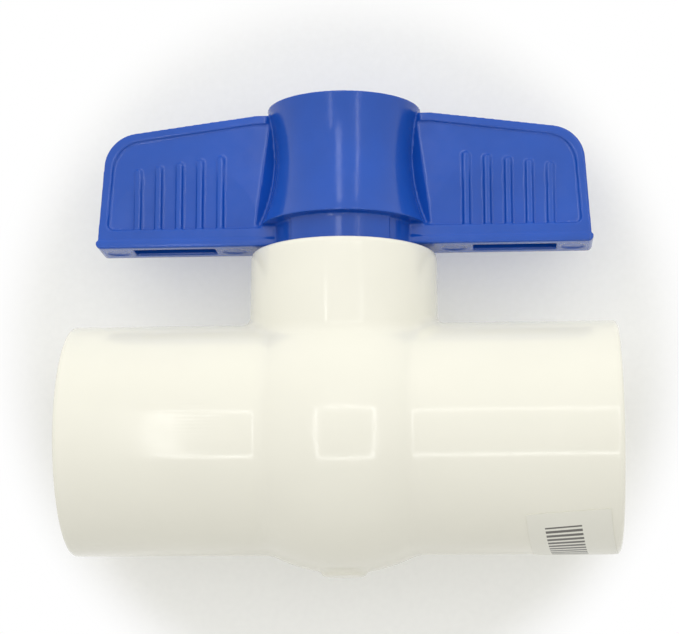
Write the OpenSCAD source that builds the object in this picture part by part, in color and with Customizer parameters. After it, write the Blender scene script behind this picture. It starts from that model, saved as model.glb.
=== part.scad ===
// Compact one-piece ball valve for solvent-welded pipe, with a two-wing handle.
// +X runs along the pipe to the outlet, +Z up the stem, and the origin is the centre of the ball.
// The valve is drawn open: the handle's wings lie along the pipe.

/* [Pipe sockets] */
// Outside diameter of the pipe that the sockets take
pipe_od = 33.4; // [26:0.1:42]
// Gap all round between the pipe and the socket
pipe_gap = 0.1; // [0.05:0.01:0.3]
// Wall of the sockets
socket_wall = 3.95; // [3:0.05:6]
// How deep the pipe goes in
socket_depth = 25.4; // [18:0.1:40]
// Wall that stops the pipe, between the socket and the ball cage
stop_wall = 3.2; // [2:0.1:5]
// Lead-in bevel at the mouth of the socket
mouth_bevel = 1; // [0.4:0.1:2]

/* [Ball] */
// Diameter of the passage through the ball, the seats and the stops
port_d = 23; // [18:0.5:28]
// Thickness of the ball over its bore
ball_wall = 7.25; // [6.5:0.05:9]
// Width of the slot in the ball's top, which the stem drives
slot_w = 5; // [4:0.1:6]
// Depth of that slot at the ball's crown
slot_depth = 4.5; // [3.5:0.1:5.5]

/* [Seats] */
// Radial width of a seat ring
seat_width = 3.6; // [2.8:0.1:4]
// Length of a seat ring behind the end of the ball's bore
seat_back = 1.9; // [1.5:0.1:3]
// Thickness of the ring of rubber behind a seat
seat_cord_d = 1.9; // [1.5:0.1:2.4]
// Length of the cage behind a seat
cage_back = 3.7; // [3:0.1:6]
// Gap between the ball and a seat's face
seat_gap = 0.1; // [0.05:0.01:0.2]

/* [Ball cage and body] */
// Gap between the ball and the cage round it
cage_gap = 0.35; // [0.2:0.05:0.6]
// Wall of the cage
cage_wall = 1.6; // [1.2:0.1:2.4]
// Wall of the body round the cage
body_wall = 3.3; // [2.6:0.1:5]
// Length of the bulge along the pipe, measured at the sockets' outside
bulge_l = 26.2; // [23:0.2:29]
// Diameter of the gate pad under the bulge
gate_pad_d = 7.8; // [4:0.2:12]
// How far the gate pad stands below the bulge
gate_pad_h = 0.6; // [0.3:0.1:1.5]
// Bevel round the ends of the sockets
end_bevel = 0.5; // [0.2:0.1:1]

/* [Neck] */
// How far the neck's rim stands above the top of the bulge
neck_rise = 9.8; // [8:0.1:14]
// Wall of the neck round its mouth
neck_wall = 3.4; // [2.5:0.1:5]
// Depth of the mouth below the rim
mouth_depth = 9.4; // [8.4:0.1:9.6]
// How far the boss round the stem stays below the rim
boss_drop = 3.4; // [3:0.1:5]
// Gap between the handle's stop pads and the mouth
pad_gap = 0.3; // [0.2:0.05:0.5]
// Gap between the stop lugs and the handle's skirt
lug_gap = 0.15; // [0.1:0.05:0.25]
// Angle that a stop pad covers
pad_angle = 84; // [70:1:86]
// Angle left between a pad and a lug at each end of the quarter turn
stop_play = 0.3; // [0.1:0.1:1]
// Radius on the rim's outer edge
rim_round = 0.8; // [0.3:0.1:1.5]

/* [Stem] */
// Diameter of the stem where it turns in the body
stem_d = 13; // [11:0.1:16]
// Running gap round the stem
stem_gap = 0.08; // [0.04:0.01:0.12]
// How far the stem's flange stands out from the stem
flange_step = 2.5; // [2:0.1:3]
// Thickness of that flange
flange_h = 2.2; // [1.6:0.1:3]
// Thickness of the thrust washer on the flange
thrust_h = 1; // [0.6:0.1:1.5]
// Thickness of the stem's sealing rings, as squeezed in their grooves
stem_ring_d = 1.65; // [1.3:0.05:2]
// Radial space that a sealing ring leaves in its groove
groove_gap = 0.05; // [0.03:0.01:0.1]
// Extra height of a groove over its ring
groove_play = 0.35; // [0.2:0.05:0.6]
// Solid length of the stem at each side of the grooves
groove_land = 1; // [0.8:0.1:1.5]
// Gap round the stem's flange
flange_gap = 0.3; // [0.2:0.05:0.5]
// Play of the stem's tang in the ball's slot, on each side
tang_gap = 0.1; // [0.05:0.01:0.2]
// Side of the square that carries the handle
square_w = 9; // [7:0.1:9.2]

/* [Handle hub] */
// Gap seen between the neck's rim and the hub
hub_gap = 5; // [3:0.1:8]
// Height of the hub
hub_h = 22.2; // [18:0.1:30]
// Outside radius of the skirt under the hub
skirt_r = 12.8; // [12:0.1:16]
// Wall of that skirt
skirt_wall = 2.5; // [1.8:0.1:3]
// How far the stop pads stand out from the skirt
pad_step = 0.5; // [0.3:0.05:0.8]
// Flare of the hub's lower edge beyond the skirt
hub_flare = 2.6; // [1.5:0.1:4]
// How much slimmer the waist is than the skirt
waist_step = 0.2; // [0:0.1:0.6]
// How much wider the hub's top is than its waist
top_flare = 1.6; // [1:0.1:3]
// Gap between the mouth's floor and the skirt
skirt_gap = 1.9; // [1:0.1:2.5]
// Wall round the square hole
drive_wall = 1.6; // [1.2:0.1:2]
// Wall of the hub at its waist
hub_wall = 2.4; // [2:0.1:4]
// Width of the ledge that carries the cap
cap_ledge = 1.9; // [1.2:0.1:2.2]
// Thickness of the web that the screw clamps
web_h = 3.5; // [2.5:0.1:5]

/* [Handle wings] */
// Length over both wings
handle_span = 90; // [78:0.5:110]
// How far each tip leans in from bottom to top
tip_lean = 1.3; // [0:0.1:4]
// Height of the wing at its tip
tip_h = 21.1; // [18:0.1:26]
// Fall of the wing's top edge from the hub to the tip
top_fall = 3.7; // [0:0.1:6]
// Radius of the upper corner
tip_round = 6.5; // [3:0.1:8]
// Gap between the neck's rim and the wings
wing_gap = 1.1; // [0.6:0.1:2.5]
// Thickness of the wings at the lower band
wing_t = 8.1; // [7:0.1:10]
// Loss of thickness on each side, from the band to the top
wing_draft = 0.5; // [0:0.1:0.8]
// Height of the lower band
band_h = 3.5; // [2.5:0.1:5]
// Height of the lip along the bottom
lip_h = 1.4; // [0.8:0.1:2]
// How far the lip stands out
lip_step = 0.3; // [0.1:0.05:0.6]
// Width of the raised border along the top and the tip
border_w = 1.6; // [1:0.1:3]
// Depth of the panel below that border
panel_depth = 0.5; // [0.4:0.05:1]
// Depth of the thumb scoop in the panel
scoop_depth = 0.7; // [0.2:0.05:0.7]
// Radius of the scoop's outline
scoop_r = 14; // [10:0.5:16]

// How thick the wing is left where it joins the hub
root_t = 2.4; // [1.6:0.1:4]
// Gap between the hub's flare and the wing's panel
root_gap = 0.7; // [0.3:0.1:1.5]
// Distance from the stem's axis to the hollow under a wing
hollow_start = 23.6; // [21:0.1:26]
// Solid end of the wing past that hollow
hollow_end = 6.4; // [5:0.1:9]
// Width of the hollow in the lower band
hollow_w = 4.3; // [3:0.1:4.6]
// Width of the hollow behind the panels
hollow_in_w = 2.2; // [1.5:0.1:2.6]
// Radius of the round ejector marks in the wings' undersides
mark_r = 2.2; // [1.5:0.1:2.5]

/* [Grip ribs] */
// Ribs on each face of a wing
rib_count = 5; // [3:1:6]
// Distance from one rib to the next
rib_pitch = 3.8; // [2.5:0.1:4]
// Distance from the stem's axis to the first rib
rib_start = 22.5; // [20:0.1:24]
// Width of a rib
rib_w = 1.1; // [0.8:0.05:1.6]
// Height of a rib above the panel
rib_step = 0.25; // [0.1:0.05:0.4]
// Height of the longest rib
rib_h = 13.6; // [9:0.1:14]
// How much shorter each rib is than the one before
rib_fall = 0.55; // [0:0.05:1]

/* [Cap, screw and label] */
// Thickness of the hub's cap
cap_h = 2; // [1.4:0.1:3]
// Gap round the cap
cap_gap = 0.1; // [0.05:0.05:0.3]
// Diameter of the handle's screw
screw_d = 4; // [3:0.5:5]
// Thickness of the washer under the screw's head
washer_h = 1; // [0.6:0.1:1.5]
// Length of the screw under its head
screw_l = 14; // [8:1:16]
// Length of the label along the pipe
label_l = 14.5; // [8:0.5:20]
// Bare length between the label and the end of the socket
label_inset = 2.1; // [1:0.1:6]
// Angle that the label wraps
label_wrap = 69; // [20:1:90]
// Where the label starts, round the pipe, from straight down towards the front
label_start = 45; // [0:1:90]

/* [Hidden] */
$fn = 96;
white = "#F3F0E4";
cream = "#E9E6D8";
blue = "#2149B4";
rubber = "#202124";
steel = "#B9BCC0";
over = 1;      // how far a cut runs past the face that it opens
contact = 0.02; // gap between fixed pieces that touch
tail_step = 0.3; // extra wall of the cage round the seats

// Pipe sockets and passage
port_r = port_d / 2;
socket_r = pipe_od / 2 + pipe_gap;
socket_or = socket_r + socket_wall;

// Ball, seats and cage, outwards from the centre
ball_r = port_r + ball_wall;
ball_end = sqrt(ball_r * ball_r - port_r * port_r);
seat_r = port_r + seat_width;
seat_x = ball_end + seat_back;
cushion_r = port_r + seat_width / 2;
cage_r = ball_r + cage_gap;
cage_or = cage_r + cage_wall;
cage_tail_r = seat_r + cage_wall + tail_step;
cage_x = seat_x + cage_back;
bulge_r = cage_or + body_wall;
bulge_rise = bulge_r - socket_or;
bulge_arc = (bulge_l * bulge_l / 4 + bulge_rise * bulge_rise) / (2 * bulge_rise);
stop_x = cage_x + stop_wall;
body_half = stop_x + socket_depth;

// Neck and stem, upwards from the centre
mouth_r = skirt_r + pad_step + pad_gap;
neck_r = mouth_r + neck_wall;
neck_z = bulge_r + neck_rise;
floor_z = neck_z - mouth_depth;
stem_r = stem_d / 2;
bore_r = stem_r + stem_gap;
flange_r = stem_r + flange_step;
flange_z = ball_r + cage_gap;
flange_top = flange_z + flange_h;
thrust_top = flange_top + thrust_h;
thrust_gap = 0.1;
pocket_r = flange_r + flange_gap;
pocket_z = thrust_top + thrust_gap;
boss_z = neck_z - boss_drop;
boss_r = skirt_r - skirt_wall - 1.3;
shoulder_z = boss_z + 0.6;
groove_h = stem_ring_d + groove_play;
groove_r = bore_r - groove_gap - stem_ring_d;
ring_low_z = pocket_z + groove_land + groove_h / 2;
ring_high_z = boss_z - groove_land - groove_h / 2;
slot_z = ball_r - slot_depth;

// Stops: the lugs in the neck fill what two pads and a quarter turn leave of a half turn
lug_half = (90 - pad_angle) / 2 - stop_play;
lug_r = skirt_r + lug_gap;

// Handle
hub_z = neck_z + hub_gap;
hub_top = hub_z + hub_h;
hub_low_r = skirt_r + hub_flare;
waist_r = skirt_r - waist_step;
skirt_ir = skirt_r - skirt_wall;
skirt_z = floor_z + skirt_gap;
web_z = hub_z + 1.7;
web_top = web_z + web_h;
square_top = web_top - 0.3;
drive_r = square_w / 2 * sqrt(2) + drive_wall;
well_r = waist_r - hub_wall;
cap_r = well_r + cap_ledge;
ledge_z = hub_top - cap_h - 0.3;
head_z = web_top + washer_h + contact;

// The hub's side is one arc through its lower edge, its waist and its top
low_out = hub_low_r - waist_r;
waist_up = waist_height(low_out, top_flare, hub_h);
waist_z = hub_z + waist_up;
hub_arc_r = (waist_up * waist_up + low_out * low_out) / (2 * low_out);

// Wings
wing_z = neck_z + wing_gap;
tip_x = handle_span / 2;
band_z = wing_z + band_h;
tip_z = wing_z + tip_h;
root_z = tip_z + top_fall;
groove_x = hub_low_r + root_gap;
scoop_x = (rib_start + rib_start + (rib_count - 1) * rib_pitch) / 2 - 1;
scoop_z = band_z + 2;
scoop_ball_r = (scoop_r * scoop_r + scoop_depth * scoop_depth) / (2 * scoop_depth);
hollow_stop = tip_x - hollow_end;

// Height of the waist above the lower edge, for one arc that stands out by low and top over the height h
function waist_height(low, top, h) =
    let (k = top / low, b = 2 * h, c = h * h + top * top - k * low * low)
    (b - sqrt(b * b - 4 * (1 - k) * c)) / (2 * (1 - k));

// What a round of radius r takes off the corner b of the path a, b, c
module off_corner(a, b, c, r) {
    u = (a - b) / norm(a - b);
    v = (c - b) / norm(c - b);
    half = acos(u * v) / 2;
    centre = b + (u + v) / norm(u + v) * r / sin(half);
    out = b - (u + v) / norm(u + v) * r;
    difference() {
        polygon([centre, b + u * r / tan(half), out, b + v * r / tan(half)]);
        translate(centre) circle(r);
    }
}

// Turns a shape drawn round +Z so that it lies round +X
module along_x() rotate([0, 90, 0]) children();

// A copy at each end of the pipe, or each wing
module both_ends() {
    children();
    mirror([1, 0, 0]) children();
}

// A ring round the axis, from radius r0 to r1 and from height z0 to z1
module ring(r0, r1, z0, z1) {
    difference() {
        translate([0, 0, z0]) cylinder(r = r1, h = z1 - z0);
        translate([0, 0, z0 - over]) cylinder(r = r0, h = z1 - z0 + 2 * over);
    }
}

// A rubber ring of thickness d, whose middle runs at radius r and height z
module o_ring(r, z, d) translate([0, 0, z]) rotate_extrude() translate([r, 0]) circle(d = d);

// A side view, [x, z], given a thickness 2 * half about y = 0
module slab(half) rotate([90, 0, 0]) linear_extrude(2 * half, center = true) children();

// Half of the body's outline: radius to the right, length along the pipe upwards
module body_outline() {
    polygon([[0, -body_half], [socket_or - end_bevel, -body_half], [socket_or, -body_half + end_bevel],
             [socket_or, body_half - end_bevel], [socket_or - end_bevel, body_half], [0, body_half]]);
    intersection() {
        translate([bulge_r - bulge_arc, 0]) circle(bulge_arc);
        translate([socket_or - over, -bulge_l]) square([bulge_rise + 2 * over, 2 * bulge_l]);
    }
}

// Half of the neck's outline: radius to the right, height upwards
module neck_outline() {
    square([neck_r, neck_z - rim_round]);
    square([neck_r - rim_round, neck_z]);
    translate([neck_r - rim_round, neck_z - rim_round]) circle(rim_round);
}

// Half of the outline of what the cage fills inside the body: a ball with a straight tail at each end
module cage_outline(grow = 0) {
    intersection() {
        circle(cage_or + grow);
        translate([0, -2 * cage_or]) square(4 * cage_or);
    }
    translate([0, -cage_x - grow]) square([cage_tail_r + grow, 2 * (cage_x + grow)]);
}

// Two lugs inside the neck's mouth that stop the skirt's pads
module stop_lugs() {
    for (turn = [-45, 135]) rotate([0, 0, turn - lug_half])
        rotate_extrude(angle = 2 * lug_half)
            translate([lug_r, floor_z - 0.5]) square([mouth_r - lug_r + 0.5, boss_z - floor_z]);
}

// One-piece moulded body: sockets, bulge, neck and gate pad
module valve_body() color(white) {
    difference() {
        union() {
            along_x() rotate_extrude() body_outline();
            rotate_extrude() neck_outline();
            translate([0, 0, -bulge_r - gate_pad_h]) cylinder(d = gate_pad_d, h = gate_pad_h + body_wall / 2);
        }
        along_x() rotate_extrude() cage_outline(contact);
        along_x() cylinder(r = port_r, h = 2 * stop_x + over, center = true);
        both_ends() along_x() {
            translate([0, 0, stop_x]) cylinder(r = socket_r, h = socket_depth + over);
            translate([0, 0, body_half - mouth_bevel])
                cylinder(r1 = socket_r, r2 = socket_r + 2 * mouth_bevel, h = 2 * mouth_bevel);
        }
        cylinder(r = pocket_r, h = pocket_z);
        cylinder(r = bore_r, h = neck_z + over);
        ring(boss_r, mouth_r, floor_z, neck_z + over);
        translate([0, 0, boss_z]) cylinder(r = mouth_r - over / 2, h = neck_z);
    }
    stop_lugs();
}

// Half of the cage that holds the ball and one seat while the body is moulded round them
module ball_cage() color(cream) {
    difference() {
        along_x() rotate_extrude() difference() {
            intersection() {
                cage_outline();
                square(2 * cage_or);
            }
            circle(cage_r);
            square([port_r, 2 * cage_x]);
            square([seat_r + contact, seat_x]);
            translate([cushion_r - seat_cord_d / 2 - 0.05, seat_x - over])
                square([seat_cord_d + 0.1, seat_cord_d + over]);
        }
        cylinder(r = pocket_r, h = 2 * cage_or);
    }
}

// Slippery plastic ring that the ball turns against
module seat_ring() color("white") {
    along_x() rotate_extrude() difference() {
        translate([port_r, 0]) square([seat_width, seat_x - contact]);
        circle(ball_r + seat_gap);
    }
}

module seat_cushion() color(rubber) along_x() o_ring(cushion_r, seat_x + seat_cord_d / 2, seat_cord_d);

module ball() color(cream) {
    difference() {
        sphere(ball_r);
        along_x() cylinder(r = port_r, h = 3 * ball_r, center = true);
        translate([-slot_w / 2, -ball_r, slot_z]) cube([slot_w, 2 * ball_r, ball_r]);
    }
}

// Stem: tang in the ball's slot, flange inside the body, two ring grooves, square for the handle
module stem() color(white) {
    tang_w = slot_w - 2 * tang_gap;
    difference() {
        union() {
            intersection() {
                translate([-tang_w / 2, -flange_r, slot_z + tang_gap])
                    cube([tang_w, 2 * flange_r, flange_z + flange_h / 2 - slot_z - tang_gap]);
                cylinder(r = flange_r - 0.6, h = neck_z);
            }
            translate([0, 0, flange_z]) cylinder(r = flange_r, h = flange_h);
            translate([0, 0, flange_z]) cylinder(r = stem_r, h = shoulder_z - flange_z);
            translate([-square_w / 2, -square_w / 2, shoulder_z - over])
                cube([square_w, square_w, square_top - shoulder_z + over]);
        }
        for (z = [ring_low_z, ring_high_z]) ring(groove_r, stem_r + over, z - groove_h / 2, z + groove_h / 2);
        translate([0, 0, square_top - screw_l]) cylinder(d = screw_d + 0.1, h = screw_l + over);
    }
}

module stem_thrust_washer() color("white") ring(stem_r + 0.1, flange_r, flange_top + contact, thrust_top);

module stem_o_ring(z) color(rubber) o_ring(groove_r + (groove_gap + stem_ring_d) / 2, z, stem_ring_d);

// Side view of one wing, shrunk by inset along its top and tip and cut off below the height low
module wing_outline(inset = 0, low = wing_z) {
    tip_slope = tip_lean / tip_h;
    top_slope = top_fall / (tip_x - tip_lean - groove_x);
    corner_x = tip_x - tip_lean - inset;
    root = [groove_x, tip_z - inset + (tip_x - tip_lean - groove_x) * top_slope];
    upper = [corner_x, tip_z - inset + inset * top_slope];
    foot = [tip_x - inset - (low - wing_z) * tip_slope, low];
    difference() {
        polygon([[0, low], foot, upper, root, [0, root[1]]]);
        off_corner(foot, upper, root, tip_round - inset / 2);
        off_corner([0, low], foot, upper, 1);
    }
}

// Wedge-shaped slab that gives the wing its draft: half thickness low at the band, less the draft at the top
module wing_wedge(half) {
    rotate([90, 0, 90]) linear_extrude(tip_x + 2)
        polygon([[-half, wing_z - over], [half, wing_z - over], [half, band_z],
                 [half - wing_draft, root_z], [half - wing_draft, root_z + over],
                 [wing_draft - half, root_z + over], [wing_draft - half, root_z], [-half, band_z]]);
}

// Upright rib with a round top, standing between the two faces given by its half thickness
module rib(x, h, half) {
    slab(half) {
        translate([x - rib_w / 2, band_z - 0.2]) square([rib_w, h + 0.2 - rib_w / 2]);
        translate([x, band_z + h - rib_w / 2]) circle(d = rib_w, $fn = 32);
    }
}

// Slanted cut between the hub and the wing's face, on the side y < 0
module hub_groove() {
    lean = atan((hub_low_r - waist_r - top_flare + 1) / hub_h);
    translate([groove_x, 0, hub_z]) rotate([0, -lean, 0]) linear_extrude(hub_h + over)
        polygon([[0, -wing_t], [0, -wing_t / 2 + panel_depth], [waist_r - groove_x, -root_t / 2],
                 [-groove_x, -root_t / 2], [-groove_x, -wing_t]]);
}

// Panel faces, scooped for the thumb, with the grip ribs
module wing_panel(half) {
    difference() {
        intersection() {
            slab(wing_t) wing_outline();
            wing_wedge(half);
        }
        for (side = [-1, 1])
            translate([scoop_x, side * (half + scoop_ball_r - scoop_depth), scoop_z])
                sphere(scoop_ball_r, $fn = 200);
    }
    for (i = [0:rib_count - 1])
        rib(rib_start + i * rib_pitch, rib_h - i * rib_fall, half + rib_step - wing_draft / 3);
}

// Raised border along the wing's top and tip, and the lower band with its lip
module wing_frame() {
    intersection() {
        slab(wing_t) difference() {
            wing_outline();
            wing_outline(border_w, band_z);
        }
        wing_wedge(wing_t / 2);
    }
    slab(wing_t / 2 + lip_step) intersection() {
        wing_outline(-lip_step, wing_z);
        translate([0, wing_z]) square([2 * tip_x, lip_h]);
    }
}

// The slot up into the wing from below, wide in the band and slim behind the scoops
module wing_hollow() {
    roof = tip_z - 3;
    length = hollow_stop - hollow_start;
    slab(hollow_w / 2) translate([hollow_start, wing_z - over]) square([length, band_h + over - 0.6]);
    slab(hollow_in_w / 2) translate([hollow_start, wing_z]) square([length, roof - wing_z]);
    for (x = [(hub_low_r + hollow_start) / 2 + 0.6, (hollow_stop + tip_x) / 2 - 0.2])
        translate([x, 0, wing_z - over]) cylinder(r = mark_r, h = over + 0.25);
}

module wing() {
    difference() {
        union() {
            wing_panel(wing_t / 2 - panel_depth);
            wing_frame();
        }
        hub_groove();
        mirror([0, 1, 0]) hub_groove();
        wing_hollow();
    }
}

// The hub's waisted outside, with the skirt and its stop pads below
module hub_outside() {
    rotate_extrude() difference() {
        translate([0, hub_z]) square([hub_low_r + 1, hub_h]);
        translate([waist_r + hub_arc_r, waist_z]) circle(hub_arc_r, $fn = 360);
    }
    translate([0, 0, skirt_z]) cylinder(r = skirt_r, h = hub_z - skirt_z + over);
    for (turn = [-90, 90]) rotate([0, 0, turn - pad_angle / 2]) rotate_extrude(angle = pad_angle)
        translate([skirt_r - over, skirt_z]) square([pad_step + over, hub_z - skirt_z + 0.5]);
}

module handle() color(blue) {
    difference() {
        union() {
            hub_outside();
            both_ends() wing();
        }
        ring(drive_r, skirt_ir, skirt_z - over, web_z);
        translate([0, 0, skirt_z - over]) cylinder(r = skirt_ir, h = shoulder_z + 0.1 - skirt_z + over);
        translate([-square_w / 2 - 0.05, -square_w / 2 - 0.05, skirt_z])
            cube([square_w + 0.1, square_w + 0.1, hub_h]);
        translate([0, 0, web_top]) cylinder(r = well_r, h = hub_h);
        translate([0, 0, ledge_z]) cylinder(r = cap_r, h = hub_h);
    }
}

module screw_washer() color(steel)
    ring(screw_d / 2 + 0.2, square_w / 2 * sqrt(2) + 1.4, web_top + contact, web_top + washer_h);

// Pan-head screw with a cross recess
module handle_screw() color(steel) {
    head_r = screw_d;
    head_h = screw_d * 0.65;
    difference() {
        union() {
            intersection() {
                translate([0, 0, head_z]) cylinder(r = head_r, h = head_h);
                translate([0, 0, head_z + head_h - 2 * head_r]) sphere(2 * head_r);
            }
            translate([0, 0, head_z + 0.5 - screw_l]) cylinder(d = screw_d, h = screw_l);
        }
        for (turn = [0, 90]) rotate([0, 0, turn])
            translate([-screw_d * 0.55, -0.45, head_z + screw_d * 0.2]) cube([screw_d * 1.1, 0.9, screw_d]);
    }
}

// Snap-in cap, slightly crowned, with a collar that grips the hub's well
module hub_cap() color(blue) {
    crown_r = 60;
    intersection() {
        translate([0, 0, ledge_z + contact]) cylinder(r = cap_r - cap_gap, h = cap_h);
        translate([0, 0, ledge_z + cap_h + contact - crown_r]) sphere(crown_r, $fn = 200);
    }
    ring(well_r - 1.5, well_r - cap_gap, ledge_z - 4, ledge_z + 0.5);
}

// Blank sticker low on the front of the outlet socket
module label_film() color("#F7F7F4")
    translate([body_half - label_inset - label_l, 0, 0]) along_x() rotate([0, 0, -label_start])
        rotate_extrude(angle = label_wrap) translate([socket_or + 0.01, 0]) square([0.12, label_l]);

valve_body();
mirror([1, 0, 0]) ball_cage();  // inlet_ball_cage
ball_cage();  // outlet_ball_cage
mirror([1, 0, 0]) seat_ring();  // inlet_seat_ring
seat_ring();  // outlet_seat_ring
mirror([1, 0, 0]) seat_cushion();  // inlet_seat_cushion
seat_cushion();  // outlet_seat_cushion
label_film();
ball();
stem();
stem_thrust_washer();
stem_o_ring(ring_low_z);  // stem_o_ring_lower
stem_o_ring(ring_high_z);  // stem_o_ring_upper
handle();
handle_screw();
screw_washer();
hub_cap();
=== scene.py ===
# %% [markdown]
# # A ball valve for plastic pipe
# A compact ball valve is two mouldings that you can see: a warm white body, moulded in one piece
# round its ball, and a blue handle that turns the stem. Everything else hides inside. The CAD
# frame fixes every size and place, so this lesson is about what the eye reads: the soft edges that
# a mould leaves, the gloss, and the light that shows them.

# %% Load the frame
import math

import bpy
from mathutils import Matrix, Vector


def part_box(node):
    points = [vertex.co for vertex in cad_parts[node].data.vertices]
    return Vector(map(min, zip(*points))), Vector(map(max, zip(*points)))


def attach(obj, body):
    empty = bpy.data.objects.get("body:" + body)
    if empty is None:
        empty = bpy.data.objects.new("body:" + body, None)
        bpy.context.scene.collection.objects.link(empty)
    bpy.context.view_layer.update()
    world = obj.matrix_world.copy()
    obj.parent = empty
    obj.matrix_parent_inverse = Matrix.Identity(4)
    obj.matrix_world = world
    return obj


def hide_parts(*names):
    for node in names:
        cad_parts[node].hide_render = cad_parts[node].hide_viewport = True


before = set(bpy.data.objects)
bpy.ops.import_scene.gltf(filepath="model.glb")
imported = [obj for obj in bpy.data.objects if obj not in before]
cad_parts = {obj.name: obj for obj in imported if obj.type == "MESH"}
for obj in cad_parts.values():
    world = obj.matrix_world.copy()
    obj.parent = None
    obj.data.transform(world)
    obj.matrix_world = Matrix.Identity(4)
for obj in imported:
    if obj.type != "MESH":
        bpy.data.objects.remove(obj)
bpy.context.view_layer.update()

MM = 0.001

# %% [markdown]
# ## Selecting and applying
# Operators act on what is selected, and a freshly loaded frame is selected all over. So one helper
# clears the selection and picks exactly one object, and another adds a modifier and applies it at
# once, which keeps each later step short.

# %% Helpers
def only(obj):
    bpy.ops.object.select_all(action="DESELECT")
    obj.select_set(True)
    bpy.context.view_layer.objects.active = obj
    return obj


def named(obj, name):
    obj.name = name
    obj.data.name = name
    return obj


def apply_modifier(obj, kind, **settings):
    only(obj)
    modifier = obj.modifiers.new(kind.lower(), kind)
    for name, value in settings.items():
        setattr(modifier, name, value)
    bpy.ops.object.modifier_apply(modifier=modifier.name)


def count(obj):
    triangles = sum(len(face.vertices) - 2 for face in obj.data.polygons)
    print(obj.name + ":", len(obj.data.vertices), "points,", triangles, "triangles")


# %% [markdown]
# ## Sizes
# The sizes come from the frame: the box of a node gives its lowest and highest corner. The few
# that no box shows, such as the sockets' outside radius, are named once here.

# %% Sizes
body_low, body_high = map(Vector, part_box("valve_body"))
handle_low, handle_high = map(Vector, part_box("handle"))
cap_low, cap_high = map(Vector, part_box("hub_cap"))
label_low, label_high = map(Vector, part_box("label_film"))
socket_r = 20.75 * MM
bulge_r = body_high.y
bulge_half = 13.1 * MM
neck_r = 17 * MM
hub_foot = 38.8 * MM
print("body length", round((body_high.x - body_low.x) / MM, 2), "mm")
print("over the wings", round((handle_high.x - handle_low.x) / MM, 2), "mm")

# %% [markdown]
# ## Softening a moulding
# A steel mould can't be razor sharp, and plastic shrinks back from its corners, so every edge of a
# moulding is slightly round and every inside corner has a small fillet. A bevel works on tidy edge
# loops, but here a round neck runs into a round pipe, and every edge of the crossing is different.
# A fine voxel remesh rounds them all alike. The exact CAD shape is copied and welded, remeshed,
# and relaxed. A vertex group then limits a longer relaxing to the places that need it, and the
# mesh is thinned where it is flat.

# %% A softened copy of a CAD node
WELD = 0.002 * MM


def softened(node, name, voxel, relax):
    only(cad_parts[node])
    bpy.ops.object.duplicate()
    piece = named(only(bpy.context.view_layer.objects.active), name)
    piece.data.materials.clear()
    bpy.ops.object.mode_set(mode="EDIT")
    bpy.ops.mesh.select_all(action="SELECT")
    bpy.ops.mesh.remove_doubles(threshold=WELD)
    bpy.ops.object.mode_set(mode="OBJECT")
    apply_modifier(piece, "REMESH", mode="VOXEL", voxel_size=voxel)
    apply_modifier(piece, "SMOOTH", factor=0.5, iterations=relax)
    return piece


def relax_where(piece, share_at, repeats):
    """Relaxes the points of a piece, each by the share (0 to 1) that its place gives it."""
    group = piece.vertex_groups.new(name="relaxed")
    for vertex in piece.data.vertices:
        share = share_at(vertex.co)
        if share > 0:
            group.add([vertex.index], min(share, 1), "REPLACE")
    apply_modifier(piece, "SMOOTH", factor=0.5, iterations=repeats, vertex_group="relaxed")
    piece.vertex_groups.clear()


def thinned(piece, keep):
    apply_modifier(piece, "DECIMATE", ratio=keep)
    only(piece)
    bpy.ops.object.shade_smooth()
    apply_modifier(piece, "WEIGHTED_NORMAL", mode="FACE_AREA", weight=50)
    count(piece)


# %% [markdown]
# ## The body
# One moulding holds both sockets, the bulge over the ball and the neck. Its outside is polished,
# so even the tiny flats of the CAD mesh would show in its gloss: the open outside is relaxed until
# they are gone. Where the neck meets the pipe, and the bulge meets the sockets, the real one has a
# small fillet, and those corners are relaxed much longer.

# %% Body moulding
CREASE_WIDTH = 1.7 * MM
EDGE_WIDTH = 0.9 * MM
SKIN = 0.3 * MM
BODY_VOXEL, BODY_KEPT = 0.42 * MM, 0.4
NECK_ROOT = 10 * MM
neck_from, neck_to = socket_r - 5 * MM, socket_r + 4 * MM


def near_crease(p):
    """1 in an inside corner of the body's outside, falling to 0 beside it."""
    to_neck = abs(math.hypot(p.x, p.y) - neck_r)
    to_socket = abs(math.hypot(p.y, p.z) - socket_r)
    to_pipe = to_socket if abs(p.x) > bulge_half else abs(p.length - bulge_r)
    neck_corner = max(to_neck, to_pipe) if p.z > NECK_ROOT else 1
    bulge_corner = max(abs(abs(p.x) - bulge_half), to_socket)
    return 1 - min(neck_corner, bulge_corner) / CREASE_WIDTH


def on_outside(p):
    """1 on the open outside of the body, falling to 0 beside its rims."""
    rims = min(body_high.x - abs(p.x), body_high.z - p.z)
    from_stem = math.hypot(p.x, p.y)
    on_neck = abs(from_stem - neck_r) < SKIN and p.z > neck_from
    beside_neck = p.z < 0 or from_stem > neck_r - 1 * MM and p.z < neck_to
    on_pipe = math.hypot(p.y, p.z) > socket_r - SKIN and beside_neck
    on_pad = p.z < EDGE_WIDTH - bulge_r
    return rims / EDGE_WIDTH - 1 if on_neck or on_pipe and not on_pad else 0


# %% Make the body
body = softened("valve_body", "body_moulding", BODY_VOXEL, relax=4)
relax_where(body, on_outside, repeats=12)
relax_where(body, near_crease, repeats=40)
thinned(body, BODY_KEPT)
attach(body, "body")
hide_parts("valve_body")

# %% [markdown]
# ## The handle
# The handle is one blue moulding with thin lips and raised ribs, so its voxels are finer than the
# body's. Only the waisted hub is relaxed longer, because its gloss is read as two upright streaks
# of light.

# %% Handle moulding
HANDLE_VOXEL, HANDLE_KEPT = 0.21 * MM, 0.27
WING_HALF, WAIST_R, HUB_HALF = 4.6 * MM, 11.9 * MM, 15.6 * MM


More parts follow.
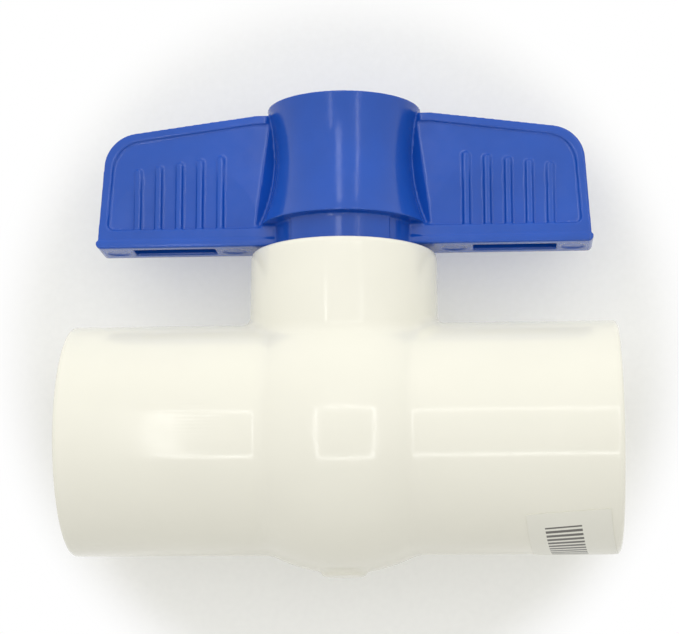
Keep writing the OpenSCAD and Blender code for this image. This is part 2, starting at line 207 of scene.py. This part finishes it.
def on_hub(p):
    """1 on the hub's waisted outside, falling to 0 beside its rims and the wings."""
    rims = min(p.z - hub_foot, handle_high.z - p.z) / EDGE_WIDTH - 1
    wing_side = (abs(p.y) - WING_HALF) / EDGE_WIDTH
    outside = math.hypot(p.x, p.y) > WAIST_R and abs(p.x) < HUB_HALF
    return min(rims, wing_side, 1) if outside else 0


handle = softened("handle", "handle_moulding", HANDLE_VOXEL, relax=5)
relax_where(handle, on_hub, repeats=25)
thinned(handle, HANDLE_KEPT)
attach(handle, "handle")
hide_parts("handle")

# %% [markdown]
# ## The hub's cap
# The cap is a turned shape: a crowned disc with a snap collar. Its outline is short, so it is
# drawn as a row of points and spun round the stem's axis, and a bevel breaks its rims.

# %% Hub cap
SEAM = 0.005 * MM


def drawn(name, outline):
    """A new mesh that is one row of joined points."""
    bpy.ops.object.select_all(action="DESELECT")
    bpy.ops.mesh.primitive_plane_add(size=MM)
    piece = named(bpy.context.active_object, name)
    bpy.ops.object.mode_set(mode="EDIT")
    bpy.ops.mesh.select_all(action="SELECT")
    bpy.ops.mesh.merge(type="CENTER")
    bpy.ops.transform.translate(value=outline[0])
    for start, stop in zip(outline, outline[1:]):
        step = Vector(stop) - Vector(start)
        bpy.ops.mesh.extrude_vertices_move(TRANSFORM_OT_translate={"value": step})
    bpy.ops.mesh.select_all(action="SELECT")
    return piece


def spun(piece, steps, angle, axis):
    """Turns that row round an axis through the origin, and closes what meets."""
    bpy.ops.mesh.spin(steps=steps, angle=angle, center=(0, 0, 0), axis=axis)
    bpy.ops.mesh.select_all(action="SELECT")
    bpy.ops.mesh.remove_doubles(threshold=SEAM)
    bpy.ops.mesh.normals_make_consistent(inside=False)
    bpy.ops.object.mode_set(mode="OBJECT")


# %% Make the cap
CROWN, CROWN_STEPS = 0.9 * MM, 8
COLLAR_R, COLLAR_WALL = 10.1 * MM, 1.4 * MM
CAP_EDGE, CAP_STEPS = 0.25 * MM, 96
SHARP = math.radians(35)
cap_r = cap_high.x
under_z = cap_high.z - 2 * MM
inner_r = COLLAR_R - COLLAR_WALL
crown_row = [(cap_r * i / CROWN_STEPS, 0, cap_high.z - CROWN * (i / CROWN_STEPS) ** 2)
             for i in range(CROWN_STEPS + 1)]
collar_row = [(cap_r, 0, under_z), (COLLAR_R, 0, under_z), (COLLAR_R, 0, cap_low.z),
              (inner_r, 0, cap_low.z), (inner_r, 0, under_z), (0, 0, under_z)]
cap = drawn("cap_disc", crown_row + collar_row)
spun(cap, CAP_STEPS, math.tau, (0, 0, 1))
apply_modifier(cap, "BEVEL", width=CAP_EDGE, segments=3, limit_method="ANGLE",
               angle_limit=math.radians(30))
only(cap)
bpy.ops.object.shade_smooth_by_angle(angle=SHARP)
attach(cap, "handle")
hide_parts("hub_cap")
count(cap)

# %% [markdown]
# ## The label
# A retail sticker wraps the underside of one socket, put on a little crooked, as they are. It is a
# strip of thin film: a row of points along the pipe is spun round the pipe's axis, leaned over,
# and given its thickness.

# %% Label film
LABEL_START, LABEL_WRAP = math.radians(45), math.radians(69)
LABEL_LEAN = math.radians(7)
LABEL_SHIFT = 1.0 * MM
ROW_STEPS, WRAP_STEPS = 12, 40
label_r = socket_r + 0.02 * MM
label_row = [
    (label_low.x + LABEL_SHIFT + (label_high.x - label_low.x) * i / ROW_STEPS,
     -label_r * math.sin(LABEL_START), -label_r * math.cos(LABEL_START))
    for i in range(ROW_STEPS + 1)]
label = drawn("label_sheet", label_row)
spun(label, WRAP_STEPS, LABEL_WRAP, (-1, 0, 0))
print("label wraps", round(label_r * LABEL_WRAP / MM, 1), "mm round the pipe")

# %% Lean the label
middle_turn = LABEL_START - LABEL_WRAP / 2
outward = Vector((0, -math.sin(middle_turn), -math.cos(middle_turn)))
label_x = (label_low.x + label_high.x) / 2 + LABEL_SHIFT
label_middle = Vector((label_x, 0, 0)) + outward * label_r
only(label)
bpy.ops.object.mode_set(mode="EDIT")
bpy.ops.mesh.select_all(action="SELECT")
across = Vector((1, 0, 0))
frame_of_label = Matrix((across, outward.cross(across), outward)).transposed()
bpy.ops.transform.rotate(value=LABEL_LEAN, orient_axis="Z", orient_matrix=frame_of_label,
                         orient_matrix_type="LOCAL", center_override=label_middle)
bpy.ops.object.mode_set(mode="OBJECT")
middle_face = label.data.polygons[len(label.data.polygons) // 2]
print("label faces", tuple(round(c, 2) for c in middle_face.normal))

# %% Stick the label on
FILM, GLUE = 0.09 * MM, 0.03 * MM
apply_modifier(label, "SHRINKWRAP", target=body, wrap_method="NEAREST_SURFACEPOINT",
               wrap_mode="OUTSIDE_SURFACE", offset=GLUE)
apply_modifier(label, "SOLIDIFY", thickness=FILM, offset=1, use_even_offset=True)
only(label)
bpy.ops.object.shade_smooth_by_angle(angle=SHARP)
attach(label, "body")
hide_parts("label_film")
count(label)

# %% [markdown]
# ## Plastic, made of nodes
# Moulded plastic is one colour all through, but it never looks flat. Its colour drifts a little
# where the melt met, its gloss is uneven, and its skin has a fine waviness. All of that is noise
# at different scales, read from Object coordinates, so it stays on the piece when the piece turns.

# %% Node helpers
def new_material(name):
    material = bpy.data.materials.new(name)
    material.use_nodes = True
    shader = material.node_tree.nodes["Principled BSDF"]
    return material, material.node_tree, shader


def add(tree, kind, **settings):
    node = tree.nodes.new(kind)
    for name, value in settings.items():
        if hasattr(node, name):
            setattr(node, name, value)
        else:
            node.inputs[name.replace("_", " ")].default_value = value
    return node


def noise(tree, scale, detail=2.0, stretch=(1, 1, 1)):
    """Noise with so many cells in a metre, pulled along an axis where stretch is small."""
    place = add(tree, "ShaderNodeTexCoord")
    mapping = add(tree, "ShaderNodeMapping")
    mapping.inputs["Scale"].default_value = stretch
    cells = add(tree, "ShaderNodeTexNoise", Scale=scale, Detail=detail)
    tree.links.new(place.outputs["Object"], mapping.inputs["Vector"])
    tree.links.new(mapping.outputs["Vector"], cells.inputs["Vector"])
    return cells.outputs["Fac"]


def joined(tree, operation, first, second):
    node = add(tree, "ShaderNodeMath", operation=operation)
    for socket, value in zip(node.inputs, (first, second)):
        if isinstance(value, (int, float)):
            socket.default_value = value
        else:
            tree.links.new(value, socket)
    return node.outputs[0]


# %% [markdown]
# ## Tones and bumps
# A noise value becomes a look in three ways: as a colour between stops, as a number in a range for
# the roughness, or as a height for a bump. Each gets a helper.

# %% Tone and bump helpers
def ramp(tree, source, *stops):
    """Turns a value into a colour by its stops, each a position and a colour."""
    node = add(tree, "ShaderNodeValToRGB")
    for element, (position, colour) in zip(node.color_ramp.elements, (stops[0], stops[-1])):
        element.position, element.color = position, colour
    for position, colour in stops[1:-1]:
        node.color_ramp.elements.new(position).color = colour
    tree.links.new(source, node.inputs["Fac"])
    return node.outputs["Color"]


def spread(tree, source, low, high):
    """Turns a noise value into a number from low to high."""
    node = add(tree, "ShaderNodeMapRange")
    node.inputs["From Min"].default_value = 0.3
    node.inputs["From Max"].default_value = 0.7
    node.inputs["To Min"].default_value = low
    node.inputs["To Max"].default_value = high
    tree.links.new(source, node.inputs["Value"])
    return node.outputs["Result"]


def bumped(tree, shader, height, distance, strength=1.0):
    """Adds one layer of bump on top of the ones before it."""
    bump = add(tree, "ShaderNodeBump", Strength=strength, Distance=distance)
    tree.links.new(height, bump.inputs["Height"])
    if shader.inputs["Normal"].is_linked:
        tree.links.new(shader.inputs["Normal"].links[0].from_socket, bump.inputs["Normal"])
    tree.links.new(bump.outputs["Normal"], shader.inputs["Normal"])


def grey(value):
    return (value, value, value, 1)


def tinted(colour, share):
    return tuple(min(1, channel * share) for channel in colour) + (1,)


# %% [markdown]
# ## One recipe for every moulding
# All the plastics share one recipe, with their own colour, gloss, drift and waviness. The noises
# are sized in cells to the metre: drift is coarse, waviness finer, and the gloss finer still.

# %% A moulded plastic
DRIFT_CELLS, WAVE_CELLS, GLOSS_CELLS = 70, 260, 450


def moulded(name, colour, gloss, drift=0.03, wave=0.004):
    """A moulded plastic. Gloss is its lowest and highest roughness, and wave is in mm."""
    material, tree, shader = new_material(name)
    darker, lighter = tinted(colour, 1 - drift), tinted(colour, 1 + drift)
    tone = ramp(tree, noise(tree, DRIFT_CELLS, 3), (0.3, darker), (0.7, lighter))
    tree.links.new(tone, shader.inputs["Base Color"])
    tree.links.new(spread(tree, noise(tree, GLOSS_CELLS, 4), *gloss), shader.inputs["Roughness"])
    bumped(tree, shader, noise(tree, WAVE_CELLS, 0.5), wave * MM)
    print(name, "has", len(tree.nodes), "nodes")
    return material, tree, shader


# %% [markdown]
# ## White body plastic
# The body is rigid plastic, a warm white, glossy where the mould was polished. Its colour hardly
# drifts, so the recipe needs little more than its colour and its gloss.

# %% Body material
BODY_WHITE = (0.825, 0.81, 0.705)
PLASTIC_IOR = 1.5
body_plastic, tree, shader = moulded("white pipe plastic", BODY_WHITE, (0.10, 0.16), drift=0.012)
shader.inputs["IOR"].default_value = PLASTIC_IOR
body.data.materials.append(body_plastic)

# %% [markdown]
# The inlet socket carries a patch of fine ridges where the mould's tool left its marks. They are
# only some thousandths of a millimetre high, so they are a bump: a sine along Z, faded by a round
# gradient.

# %% Tool marks
PATCH_PLACE, PATCH_SIZE = (-25.5 * MM, -socket_r, 2 * MM), (8 * MM, 5 * MM, 5 * MM)
RIDGE_PITCH, RIDGE_HEIGHT = 0.62 * MM, 0.005 * MM
place = add(tree, "ShaderNodeTexCoord")
patch = add(tree, "ShaderNodeMapping", vector_type="TEXTURE")
patch.inputs["Location"].default_value = PATCH_PLACE
patch.inputs["Scale"].default_value = PATCH_SIZE
reach_of_patch = add(tree, "ShaderNodeTexGradient", gradient_type="SPHERICAL")
axes = add(tree, "ShaderNodeSeparateXYZ")
tree.links.new(place.outputs["Object"], patch.inputs["Vector"])
tree.links.new(patch.outputs["Vector"], reach_of_patch.inputs["Vector"])
tree.links.new(place.outputs["Object"], axes.inputs[0])
turns = joined(tree, "MULTIPLY", axes.outputs["Z"], math.tau / RIDGE_PITCH)
ridges = joined(tree, "MULTIPLY", joined(tree, "SINE", turns, 0), reach_of_patch.outputs["Fac"])
bumped(tree, shader, ridges, RIDGE_HEIGHT)
print("ridges", round(RIDGE_PITCH / MM, 2), "mm apart")

# %% [markdown]
# ## Blue handle plastic
# The handle is a softer plastic with a deep blue pigment. Pigment that isn't mixed to the end
# leaves faint streaks along the flow, and fingers leave fine scratches, which show as changes in
# gloss more than in colour.

# %% Handle material
HANDLE_BLUE = (0.004, 0.068, 0.40)
SCRATCH_CELLS, SCRATCH_DEPTH = 900, 0.004 * MM
handle_plastic, tree, shader = moulded("blue handle plastic", HANDLE_BLUE, (0.13, 0.21),
                                       drift=0.10, wave=0.003)
scratches = noise(tree, SCRATCH_CELLS, 3, stretch=(0.06, 1, 1))
bumped(tree, shader, ramp(tree, scratches, (0.62, grey(0)), (0.68, grey(1))), SCRATCH_DEPTH)
shader.inputs["IOR"].default_value = PLASTIC_IOR
for piece in (handle, cap):
    piece.data.materials.append(handle_plastic)

# %% [markdown]
# ## The label's film
# The sticker is satin white film, a shade greyer than the pipe. Where a shop's print would be, it
# carries plain even bars that stand for nothing.

# %% Label material
def between(tree, value, low, high):
    """1 where a value lies between two limits, and 0 elsewhere."""
    from_middle = joined(tree, "SUBTRACT", value, (low + high) / 2)
    return joined(tree, "LESS_THAN", joined(tree, "ABSOLUTE", from_middle, 0), (high - low) / 2)


FILM_WHITE = (0.80, 0.79, 0.70)
label_film, tree, shader = moulded("satin label film", FILM_WHITE, (0.3, 0.38), drift=0.01,
                                   wave=0.01)
label.data.materials.append(label_film)

# %% [markdown]
# The bars need a grid that follows the sticker: one way along the pipe, the other round it, both
# turned by the sticker's lean. Each bar is a range of the way round, cut to a range of the way
# along.

# %% Bars on the label
BAR_PITCH, BAR_FROM, BAR_TO = 1.25 * MM, 0.22, 0.78
BARS_TURN, BARS_TALL = 9, 13 * MM
BARS_LEFT, BARS_RIGHT = 3.0 * MM, 9.4 * MM
PRINT_COLOUR = (0.13, 0.125, 0.11, 1)
place = add(tree, "ShaderNodeTexCoord")
axes = add(tree, "ShaderNodeSeparateXYZ")
tree.links.new(place.outputs["Object"], axes.inputs[0])
round_pipe = joined(tree, "ARCTAN2", axes.outputs["Z"], axes.outputs["Y"])
slope = math.tan(LABEL_LEAN)
arc = joined(tree, "MULTIPLY", round_pipe, label_r)
middle_arc = -label_r * (middle_turn + math.radians(90))
rows = joined(tree, "ADD", arc, joined(tree, "MULTIPLY", axes.outputs["X"], slope))
columns = joined(tree, "ADD", axes.outputs["X"], joined(tree, "MULTIPLY", arc, -slope))
phase = joined(tree, "FRACT", joined(tree, "DIVIDE", rows, BAR_PITCH), 0)
bars = between(tree, phase, BAR_FROM, BAR_TO)
first_bar = -label_r * (LABEL_START + math.radians(90 - BARS_TURN)) + label_middle.x * slope
first_column = label_low.x + LABEL_SHIFT - middle_arc * slope
bar_rows = between(tree, rows, first_bar, first_bar + BARS_TALL)
bar_width = between(tree, columns, first_column + BARS_LEFT, first_column + BARS_RIGHT)
printed = joined(tree, "MULTIPLY", bars, joined(tree, "MULTIPLY", bar_rows, bar_width))
print("label has", int(BARS_TALL / BAR_PITCH), "bars")

# %% Print the bars
print_mix = add(tree, "ShaderNodeMix", data_type="RGBA")
film_tone = shader.inputs["Base Color"].links[0].from_socket
FIRST_COLOUR, SECOND_COLOUR, MIXED_COLOUR = 6, 7, 2
tree.links.new(printed, print_mix.inputs["Factor"])
tree.links.new(film_tone, print_mix.inputs[FIRST_COLOUR])
print_mix.inputs[SECOND_COLOUR].default_value = PRINT_COLOUR
tree.links.new(print_mix.outputs[MIXED_COLOUR], shader.inputs["Base Color"])

# %% [markdown]
# ## Hidden pieces
# The ball and its cage are plain white plastic, the seats a waxy slippery one, the rings black
# rubber, and the screw and washer zinc plated steel. They show only through the sockets, but they
# get real finishes too.

# %% Inner materials
inner_plastic, tree, shader = moulded("inner white plastic", (0.78, 0.78, 0.74), (0.2, 0.32),
                                      drift=0.015)
seat_plastic, tree, shader = moulded("waxy seat plastic", (0.86, 0.86, 0.82), (0.38, 0.5),
                                     drift=0.01)
shader.inputs["Subsurface Weight"].default_value = 0.15
shader.inputs["Subsurface Radius"].default_value = (0.002, 0.002, 0.002)
seal_rubber, tree, shader = moulded("black seal rubber", (0.02, 0.02, 0.021), (0.5, 0.65),
                                    drift=0.08, wave=0.01)
fastener_steel, tree, shader = moulded("zinc plated steel", (0.62, 0.63, 0.62), (0.25, 0.42),
                                       drift=0.05)
shader.inputs["Metallic"].default_value = 1.0

# %% Give every CAD node its finish
finishes = {"inner_plastic": inner_plastic, "seat_plastic": seat_plastic,
            "seal_rubber": seal_rubber, "fastener_steel": fastener_steel,
            "body_plastic": body_plastic, "handle_plastic": handle_plastic,
            "label_film": label_film}
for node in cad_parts.values():
    for slot in node.material_slots:
        slot.material = finishes[slot.material.name.split(".")[0]]

# %% [markdown]
# ## The paper
# The valve lies on its back on a sheet of white paper and is seen from above, so the floor is the
# plane behind it that touches the bulge and the hub. It has to be white at the rim of the view
# without more light: there, its material turns to plain white, but only for rays that look at it.
# The rays that carry light still meet grey paper. Seen from behind it lets everything through.

# %% Floor
FLOOR_SIZE, FLOOR_GAP = 4.0, 0.1 * MM
reach = handle_high.z
hub_back = 14.6 * MM
rise = reach - math.sqrt(reach ** 2 + hub_back ** 2 - bulge_r ** 2)
lean = 2 * math.atan2(rise, bulge_r + hub_back)
middle = Vector((-2.4 * MM, 0, 20 * MM))
middle.y = (bulge_r - middle.z * math.sin(lean)) / math.cos(lean) + FLOOR_GAP
print("floor leans", round(math.degrees(lean), 2), "degrees")
bpy.ops.object.select_all(action="DESELECT")
bpy.ops.mesh.primitive_plane_add(size=FLOOR_SIZE, location=middle,
                                 rotation=(math.pi / 2 + lean, 0, 0))
floor = named(bpy.context.active_object, "paper")
bpy.ops.object.transform_apply(location=True, rotation=True, scale=True)
print("floor faces", tuple(round(c, 2) for c in floor.data.polygons[0].normal))

# %% The rays that look
def looking_ray(tree):
    """1 for rays that look at the background: from the camera, off gloss or through glass."""
    kind = tree.nodes.new("ShaderNodeLightPath")
    seen, off_gloss = kind.outputs["Is Camera Ray"], kind.outputs["Is Glossy Ray"]
    either = joined(tree, "MAXIMUM", seen, off_gloss)
    return joined(tree, "MAXIMUM", either, kind.outputs["Is Transmission Ray"])


# %% Paper material
PAPER = (0.86, 0.86, 0.825)
RIM_X, RIM_Z = 62 * MM, 64 * MM
FADE_START, FADE_END = 0.90, 1.12
PAPER_GLOW = 0.27
paper, tree, shader = new_material("white paper")
shader.inputs["Roughness"].default_value = 0.9
fibre = ramp(tree, noise(tree, 900, 4), (0.3, tinted(PAPER, 0.985)), (0.7, tinted(PAPER, 1.015)))
tree.links.new(fibre, shader.inputs["Base Color"])
place = add(tree, "ShaderNodeTexCoord")
mapping = add(tree, "ShaderNodeMapping", vector_type="TEXTURE")
mapping.inputs["Location"].default_value = middle
mapping.inputs["Scale"].default_value = (RIM_X, 1, RIM_Z)
distance = add(tree, "ShaderNodeVectorMath", operation="LENGTH")
fade = add(tree, "ShaderNodeMapRange", interpolation_type="SMOOTHSTEP")
fade.inputs["From Min"].default_value = FADE_START
fade.inputs["From Max"].default_value = FADE_END
fade.inputs["To Min"].default_value = PAPER_GLOW
tree.links.new(place.outputs["Object"], mapping.inputs["Vector"])
tree.links.new(mapping.outputs["Vector"], distance.inputs[0])
tree.links.new(distance.outputs["Value"], fade.inputs["Value"])
floor.data.materials.append(paper)
print("paper turns white between", round(RIM_X * FADE_START / MM), "and",
      round(RIM_X * FADE_END / MM), "mm along the pipe")

# %% What the paper lets through
ray = add(tree, "ShaderNodeLightPath")
back = add(tree, "ShaderNodeNewGeometry")
white = add(tree, "ShaderNodeEmission", Strength=1.0)
clear = add(tree, "ShaderNodeBsdfTransparent")
lit = add(tree, "ShaderNodeMixShader")
seen = add(tree, "ShaderNodeMixShader")
whitened = joined(tree, "MULTIPLY", fade.outputs["Result"], looking_ray(tree))
tree.links.new(whitened, lit.inputs["Fac"])
tree.links.new(shader.outputs[0], lit.inputs[1])
tree.links.new(white.outputs[0], lit.inputs[2])
through = joined(tree, "MAXIMUM", back.outputs["Backfacing"], ray.outputs["Is Shadow Ray"])
tree.links.new(through, seen.inputs["Fac"])
tree.links.new(lit.outputs[0], seen.inputs[1])
tree.links.new(clear.outputs[0], seen.inputs[2])
tree.links.new(seen.outputs[0], tree.nodes["Material Output"].inputs["Surface"])

# %% [markdown]
# ## Light
# Product light is broad and soft: large panels in front and above, and a pale room for the rest. A
# panel behind serves the other views. The two large ones are kept out of the gloss, which would
# show them as flat grey sheets on the wings.

# %% Lamps
def panel(name, place, target, width, height, glow):
    """A soft panel that faces a target; glow is its brightness, where 1 is white."""
    bpy.ops.object.light_add(type="AREA", location=place)
    lamp = bpy.context.active_object
    lamp.name = name
    lamp.rotation_euler = (Vector(target) - Vector(place)).to_track_quat("-Z", "Y").to_euler()
    lamp.data.shape = "RECTANGLE"
    lamp.data.size, lamp.data.size_y = width, height
    lamp.data.energy = glow * math.pi * width * height
    lamp.visible_camera = False
    return lamp


target = (0, 0, 10 * MM)
panel("rear_panel", (0.1, 0.5, 0.1), target, 0.5, 0.4, 2.0)
front = panel("front_panel", (0, -0.58, 0.18), target, 1.2, 0.5, 1.06)
top = panel("top_panel", (0, -0.25, 0.55), target, 0.9, 0.4, 0.70)
for lamp in (front, top):
    lamp.visible_glossy = False

# %% [markdown]
# ## Strips for the gloss
# Four slim strips make a square in front of the valve. They light nothing, but the gloss shows
# them, as a square on the bulge and two lines along the sockets. Three of them hang close.

# %% Near strips
STRIP, HALF = 6 * MM, 74 * MM
strip_middle = Vector((15 * MM, -200 * MM, -9 * MM))
ahead = Vector((0, 1, 0))
near_strips = (("left", -1, 0, 6), ("right", 1, 0, 7), ("lower", 0, -1, 8))
for name, across, up, glow in near_strips:
    place = strip_middle + Vector((across * HALF, 0, up * HALF))
    width, height = (STRIP, 2 * HALF) if across else (2 * HALF, STRIP)
    strip = panel(name + "_strip", place, place + ahead, width, height, glow)
    strip.visible_diffuse = False
print("strips", round(2 * HALF / MM), "mm long,", round(-strip_middle.y / MM), "mm in front")

# %% [markdown]
# The fourth hangs above, three times as far away and as much higher and larger, so the bulge sees
# it at the same slope, but the neck, which stands above the bulge, sees nothing of it. The handle
# would, so its light is kept for the body and its sticker.

# %% Upper strip
FARTHER, CUT_SHORT, UPPER_GLOW = 3.3, 60 * MM, 5
bulge_front = Vector((0, -bulge_r, 0))
near_place = strip_middle + Vector((0, 0, HALF))
place = bulge_front + (near_place - bulge_front) * FARTHER + Vector((CUT_SHORT / 2, 0, 0))
width, height = 2 * HALF * FARTHER - CUT_SHORT, STRIP * FARTHER
strip = panel("upper_strip", place, place + ahead, width, height, UPPER_GLOW)
strip.visible_diffuse = False
white_pieces = bpy.data.collections.new("white pieces")
for piece in (body, label):
    white_pieces.objects.link(piece)
strip.light_linking.receiver_collection = white_pieces
print("upper strip at", tuple(round(c / MM) for c in place), "mm")

# %% [markdown]
# Two tall strips above the near ones make the upright streaks on the hub. Their light is kept for
# the blue pieces, so that the body stays free of them.

# %% Tall strips
TALL = 0.27
blue_pieces = bpy.data.collections.new("blue pieces")
for piece in (handle, cap):
    blue_pieces.objects.link(piece)
tall_strips = (("left", -16 * MM, 28 * MM, 2.6), ("right", 98 * MM, 8 * MM, 6))
for name, x, width, glow in tall_strips:
    place = Vector((x, strip_middle.y, strip_middle.z + HALF + TALL / 2))
    strip = panel(name + "_tall_strip", place, place + ahead, width, TALL, glow)
    strip.visible_diffuse = False
    strip.light_linking.receiver_collection = blue_pieces

# %% [markdown]
# ## The room
# The world is a pale room that lights from every side. What the camera, gloss and glass see of it
# is plain white, so the background stays white in every view without more light on the valve.

# %% World
world = bpy.data.worlds.new("pale room")
world.use_nodes = True
tree = world.node_tree
room = tree.nodes["Background"]
ROOM_COLOUR, ROOM_LIGHT = (1.0, 0.995, 0.985, 1), 0.70
room.inputs["Color"].default_value = ROOM_COLOUR
room.inputs["Strength"].default_value = ROOM_LIGHT
blank = add(tree, "ShaderNodeBackground", Color=(1, 1, 1, 1), Strength=1.0)
room_or_blank = add(tree, "ShaderNodeMixShader")
tree.links.new(looking_ray(tree), room_or_blank.inputs["Fac"])
tree.links.new(room.outputs[0], room_or_blank.inputs[1])
tree.links.new(blank.outputs[0], room_or_blank.inputs[2])
tree.links.new(room_or_blank.outputs[0], tree.nodes["World Output"].inputs["Surface"])
bpy.context.scene.world = world

# %% [markdown]
# ## Camera
# The camera stands well back with a long lens, so the valve keeps its true shape, and a little
# below the pipe, so that it looks slightly up under the wings and shows their ribs and rims.

# %% Camera
bpy.ops.object.camera_add(location=(27 * MM, -373.1 * MM, -49.7 * MM))
camera = bpy.context.active_object
aim = Vector((-0.85 * MM, 0, 22.4 * MM))
camera.rotation_euler = (aim - camera.location).to_track_quat("-Z", "Y").to_euler()
camera.data.lens = 111.1
camera.data.sensor_width = 36
camera.data.clip_start = 0.01
bpy.context.scene.camera = camera
bpy.context.scene.view_settings.view_transform = "Standard"
print("camera", round((camera.location - aim).length / MM), "mm from the valve")
